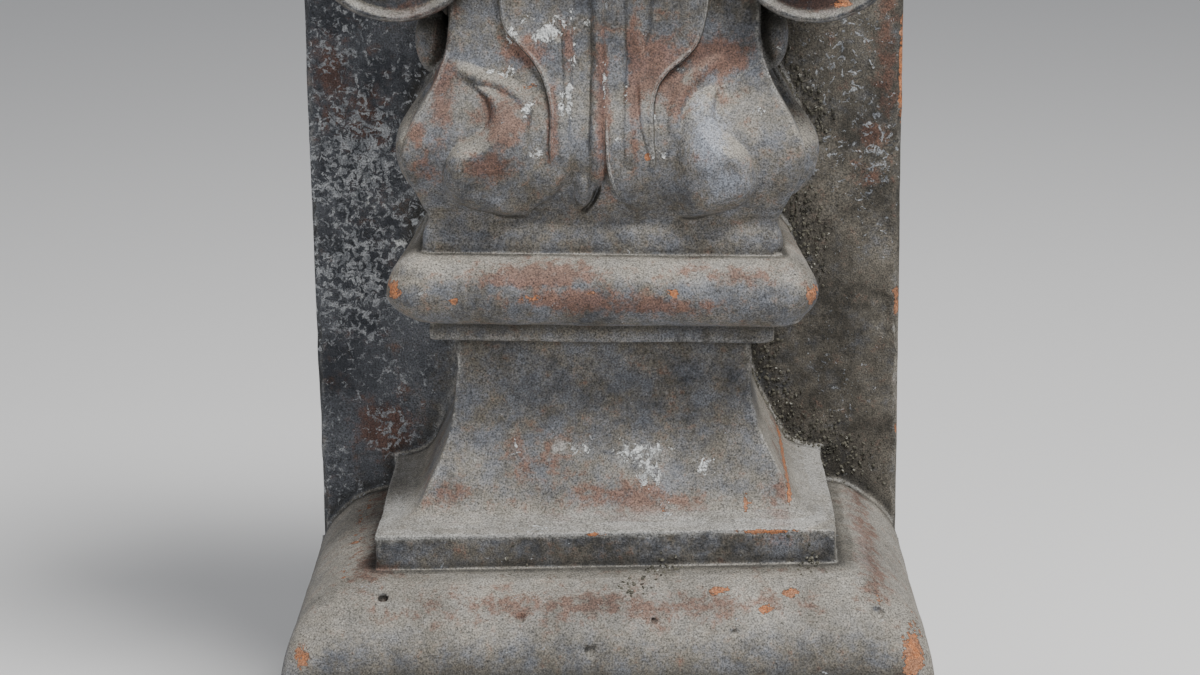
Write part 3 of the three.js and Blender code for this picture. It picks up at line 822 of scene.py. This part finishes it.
def amount(tree, value, low, high, top=1.0, bottom=0.0, steps="SMOOTHSTEP"):
    return node(tree, "ShaderNodeMapRange", {
        "Value": value, "From Min": low, "From Max": high, "To Min": bottom, "To Max": top},
        interpolation_type=steps).outputs["Result"]


def sum_of(tree, *terms):
    """Adds up pairs of a socket and its weight."""
    total = None
    for socket, weight in terms:
        total = node(tree, "ShaderNodeMath", {0: socket, 1: weight, 2: total if total is not None else 0.0},
                     operation="MULTIPLY_ADD").outputs["Value"]
    return total


def over_coat(tree, below, coat, cover):
    mix = node(tree, "ShaderNodeMix", data_type="RGBA")
    tree.links.new(cover, mix.inputs["Factor"])
    for slot, value in ((6, below), (7, coat)):
        if isinstance(value, bpy.types.NodeSocket):
            tree.links.new(value, mix.inputs[slot])
        else:
            mix.inputs[slot].default_value = (*value, 1)
    return mix.outputs[2]


def kept(tree, name):
    return node(tree, "ShaderNodeAttribute", attribute_name=name).outputs["Fac"]


paint, tree, shader = finish_named("painted_terracotta")
place = node(tree, "ShaderNodeTexCoord").outputs["Object"]
cloud = noise(tree, place, 60, 6, 0.75)
blotch = noise(tree, place, 17, 6, 0.75)
fleck = noise(tree, place, 7.0, 4, 0.7)
grain = noise(tree, place, 1.05, 1, 0.6)
crust = noise(tree, place, 5.0, 6, 0.68, 0.8)

# Each finish as its dark and its light colour, or as one colour.
cool_paint = (0.026, 0.029, 0.036), (0.195, 0.203, 0.222)
warm_paint = (0.031, 0.027, 0.020), (0.215, 0.192, 0.155)
dust_and_lit_side = (0.150, 0.137, 0.113), (0.370, 0.340, 0.285)
painted_sheen_colour = (0.24, 0.26, 0.30)
umber_paint = (0.050, 0.022, 0.015), (0.205, 0.096, 0.062)
rubbed_edge = (0.24, 0.236, 0.22)
cavity_shade_and_grime = (0.016, 0.015, 0.012)
arris_highlight_and_lime = (0.34, 0.336, 0.32)
crease_shade = (0.020, 0.018, 0.015)
salt_bloom = (0.125, 0.133, 0.145), (0.33, 0.34, 0.35)
bare_clay = (0.36, 0.125, 0.042), (0.26, 0.120, 0.062)
limewash = (0.26, 0.265, 0.262), (0.60, 0.61, 0.595)

# The dark-to-light mix of every coat follows this painted light and shade, with mottling.
shade = sum_of(tree, (kept(tree, "painted_light_and_tone"), 0.75), (cloud, 1.9), (fleck, 0.9))
shade = amount(tree, shade, 1.30, 2.35, 1.0, 0.0, "LINEAR")
warmth = sum_of(tree, (kept(tree, "warm"), 1.0), (blotch, 2.4))
colour = over_coat(tree, over_coat(tree, *cool_paint, shade), over_coat(tree, *warm_paint, shade),
                   amount(tree, warmth, 1.35, 2.10))
# Dust on upward faces, and painted light on right-facing faces low down.
dust_and_lit_cover = sum_of(tree, (kept(tree, "dust_and_lit_side"), 0.9), (blotch, 0.6))
colour = over_coat(tree, colour, over_coat(tree, *dust_and_lit_side, shade), amount(tree, dust_and_lit_cover, 0.40, 1.15, 0.8))
# Painted sheen, laid on in brushed streaks.
brushed = node(tree, "ShaderNodeMapping", {"Vector": place, "Rotation": (0, 0.45, 0), "Scale": (1, 1, 0.12)})
streak = noise(tree, brushed.outputs["Vector"], 2.2, 3, 0.6)
sheen_cover = sum_of(tree, (kept(tree, "sheen_share"), 0.62), (streak, 0.7))
colour = over_coat(tree, colour, painted_sheen_colour, amount(tree, sheen_cover, 0.55, 0.95, 0.75))
reddened = sum_of(tree, (kept(tree, "umber"), 0.50), (blotch, 1.0), (fleck, 0.9))
colour = over_coat(tree, colour, over_coat(tree, *umber_paint, shade),
                   amount(tree, reddened, 1.08, 1.36, 0.78))
rubbed = sum_of(tree, (kept(tree, "edge"), 0.40), (fleck, 0.9))
colour = over_coat(tree, colour, rubbed_edge, amount(tree, rubbed, 0.62, 1.05, 0.6))
# Cavities and recesses darkened nearly to black: painted shade, with grime.
cavity_shade_cover = sum_of(tree, (kept(tree, "cavity"), 1.0), (fleck, 0.5))
colour = over_coat(tree, colour, cavity_shade_and_grime, amount(tree, cavity_shade_cover, 0.62, 1.35, 0.85))
# Sharp edges lightened: a painted highlight, with lime caught along them.
sharp = sum_of(tree, (kept(tree, "arris"), 0.50), (blotch, 0.9))
colour = over_coat(tree, colour, arris_highlight_and_lime, amount(tree, sharp, 0.72, 1.00, 0.5))
# Narrow creases darkened: painted shade.
crease_shade_cover = sum_of(tree, (kept(tree, "crease"), 0.70), (fleck, 0.4))
colour = over_coat(tree, colour, crease_shade, amount(tree, crease_shade_cover, 0.55, 1.15, 0.55))
salted = amount(tree, sum_of(tree, (kept(tree, "salt"), 0.205), (crust, 1.0)), 0.655, 0.690)
colour = over_coat(tree, colour, over_coat(tree, *salt_bloom, amount(tree, fleck, 0.35, 0.65)), salted)
chipped = amount(tree, sum_of(tree, (kept(tree, "bare"), 0.52), (fleck, 0.55), (crust, 0.45)), 0.80, 0.84)
colour = over_coat(tree, colour, over_coat(tree, *bare_clay, amount(tree, fleck, 0.4, 0.6)), chipped)
limed = amount(tree, sum_of(tree, (kept(tree, "lime"), 0.36), (crust, 0.70), (blotch, 0.36)), 0.790, 0.830)
colour = over_coat(tree, colour, over_coat(tree, *limewash, amount(tree, crust, 0.45, 0.7)), limed)
colour = node(tree, "ShaderNodeHueSaturation", {
    "Color": colour, "Value": amount(tree, grain, 0.20, 0.80, 1.90, 0.10, "LINEAR")}).outputs["Color"]
tree.links.new(colour, shader.inputs["Base Color"])
relief = sum_of(tree, (grain, 0.35), (fleck, 0.9), (limed, 0.35), (salted, 0.2), (chipped, -0.8))
bump = node(tree, "ShaderNodeBump", {"Height": relief, "Distance": 0.8 * MM, "Strength": 1.0})
tree.links.new(bump.outputs["Normal"], shader.inputs["Normal"])
shader.inputs["Roughness"].default_value = 0.8

for piece in (block, leafwork):
    piece.data.materials.clear()
    piece.data.materials.append(paint)
    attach(piece, "root")
    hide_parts("capital_block")


# Mortar crumbs: grit of the old lime mortar still sticks to the clay in clusters,
# thickest in the rough recess to the right of the neck. Each grain is a small
# broken lump, thrown on with the trowel and set hard where it stuck.
mortar, mortar_tree, mortar_shader = finish_named("old_mortar")
mortar_place = node(mortar_tree, "ShaderNodeTexCoord").outputs["Object"]
mottle = noise(mortar_tree, mortar_place, 9, 4, 0.7)
speck = noise(mortar_tree, mortar_place, 2.6, 2, 0.6)
olive_mortar = (0.032, 0.030, 0.022), (0.125, 0.116, 0.088)
pale_speck = (0.34, 0.33, 0.29)
mortar_colour = over_coat(mortar_tree, *olive_mortar, amount(mortar_tree, mottle, 0.35, 0.65))
mortar_colour = over_coat(mortar_tree, mortar_colour, pale_speck,
                          amount(mortar_tree, speck, 0.62, 0.67))
mortar_tree.links.new(mortar_colour, mortar_shader.inputs["Base Color"])
mortar_shader.inputs["Roughness"].default_value = 0.95

scatter = bpy.data.node_groups.new("mortar_grit", "GeometryNodeTree")
scatter.interface.new_socket("Geometry", in_out="INPUT", socket_type="NodeSocketGeometry")
scatter.interface.new_socket("Geometry", in_out="OUTPUT", socket_type="NodeSocketGeometry")
crumb_sizes = {}
for name, kind, value in (("Grains per square metre", "NodeSocketFloat", 120000.0),
                          ("Smallest grain", "NodeSocketFloat", 0.5 * MM),
                          ("Largest grain", "NodeSocketFloat", 1.7 * MM),
                          ("Seed", "NodeSocketInt", 7),
                          ("Finish", "NodeSocketMaterial", mortar)):
    socket = scatter.interface.new_socket(name, in_out="INPUT", socket_type=kind)
    crumb_sizes[socket.identifier] = value
given = scatter.nodes.new("NodeGroupInput").outputs
where = node(scatter, "GeometryNodeInputNamedAttribute", {"Name": "grit"}, data_type="FLOAT").outputs[0]
how_many = node(scatter, "ShaderNodeMath", {0: where, 1: given["Grains per square metre"]},
                operation="MULTIPLY").outputs[0]
spots = node(scatter, "GeometryNodeDistributePointsOnFaces",
             {"Mesh": given["Geometry"], "Density": how_many, "Seed": given["Seed"]},
             distribute_method="RANDOM")
grain_size = node(scatter, "FunctionNodeRandomValue",
                  {0: given["Smallest grain"], 1: given["Largest grain"]},
                  data_type="FLOAT_VECTOR").outputs[0]
full_turn = 6.28
grain_turn = node(scatter, "FunctionNodeRandomValue",
                  {0: (0, 0, 0), 1: (full_turn, full_turn, full_turn)},
                  data_type="FLOAT_VECTOR").outputs[0]
lump = node(scatter, "GeometryNodeMeshIcoSphere", {"Radius": 1.0, "Subdivisions": 1}).outputs["Mesh"]
stuck = node(scatter, "GeometryNodeInstanceOnPoints", {"Points": spots.outputs["Points"], "Instance": lump,
                                                       "Rotation": grain_turn, "Scale": grain_size})
solid = node(scatter, "GeometryNodeRealizeInstances", {"Geometry": stuck.outputs["Instances"]})
finished = node(scatter, "GeometryNodeSetMaterial",
                {"Geometry": solid.outputs["Geometry"], "Material": given["Finish"]})
scatter.links.new(finished.outputs["Geometry"], scatter.nodes.new("NodeGroupOutput").inputs["Geometry"])

crumbs = bpy.data.objects.new("mortar_crumbs", block.data.copy())
bpy.context.scene.collection.objects.link(crumbs)
thrown = crumbs.modifiers.new("mortar_grit", "NODES")
thrown.node_group = scatter
for identifier, value in crumb_sizes.items():
    thrown[identifier] = value
settled = crumbs.evaluated_get(bpy.context.evaluated_depsgraph_get())
grains = bpy.data.meshes.new_from_object(settled)
crumbs.modifiers.clear()
crumbs.data = grains
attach(crumbs, "root")
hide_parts("capital_block")

# Camera: stands before the capital and a little above it, looking down on the
# cushion through a long lens.

sensor_width = 36.0
focal_share = 2.29355  # focal length over the sensor's width
camera_pitch, camera_yaw, camera_roll = (math.radians(angle) for angle in (14.706, 0.875, 0.742))
camera_place = Vector((22.874, slab_front - 1829.23, seat + 584.73)) * MM

camera_data = bpy.data.cameras.new("camera")
camera_data.sensor_width = sensor_width
camera_data.lens = sensor_width * focal_share
camera_data.clip_end = 100
camera = bpy.data.objects.new("camera", camera_data)
bpy.context.scene.collection.objects.link(camera)
ahead = Vector((-math.sin(camera_yaw) * math.cos(camera_pitch), math.cos(camera_yaw) * math.cos(camera_pitch),
                -math.sin(camera_pitch)))
level_right = Vector((math.cos(camera_yaw), math.sin(camera_yaw), 0))
level_down = ahead.cross(level_right)
rolled_right = math.cos(camera_roll) * level_right + math.sin(camera_roll) * level_down
rolled_down = -math.sin(camera_roll) * level_right + math.cos(camera_roll) * level_down
camera_turn = Matrix((rolled_right, -rolled_down, -ahead)).transposed().to_4x4()
camera_turn.translation = camera_place
camera.matrix_world = camera_turn
bpy.context.scene.camera = camera

# Floor: a plain pale studio floor, wide enough to fill the view.

floor_half = 12
floor_colour = (0.82, 0.81, 0.79, 1)
floor_mesh = bpy.data.meshes.new("floor")
floor_mesh.from_pydata([(-floor_half, -floor_half, 0), (floor_half, -floor_half, 0),
                        (floor_half, floor_half, 0), (-floor_half, floor_half, 0)], [], [(0, 1, 2, 3)])
floor = bpy.data.objects.new("floor", floor_mesh)
bpy.context.scene.collection.objects.link(floor)
floor_paint, _, floor_shader = finish_named("floor")
floor_shader.inputs["Base Color"].default_value = floor_colour
floor_shader.inputs["Roughness"].default_value = 0.9
floor_mesh.materials.append(floor_paint)

# Light: an even bluish room, a softbox high on the right and a weak one on the left.

room_colour, room_strength = (0.9, 0.93, 1, 1), 0.34
aim = Vector((0, 0, 0.3))
world = bpy.data.worlds.new("studio")
bpy.context.scene.world = world
world.use_nodes = True
world.node_tree.nodes["Background"].inputs["Color"].default_value = room_colour
world.node_tree.nodes["Background"].inputs["Strength"].default_value = room_strength


def softbox(name, lamp_place, size, power):
    light = bpy.data.lights.new(name, "AREA")
    light.shape = "RECTANGLE"
    light.size = light.size_y = size
    light.energy = power
    lamp = bpy.data.objects.new(name, light)
    lamp.location = lamp_place
    lamp.rotation_euler = (aim - Vector(lamp_place)).to_track_quat("-Z", "Y").to_euler()
    bpy.context.scene.collection.objects.link(lamp)


softbox("key", (0.85, -0.95, 2.55), 0.9, 100)
softbox("fill", (-1.6, -1.9, 1.3), 1.6, 20)
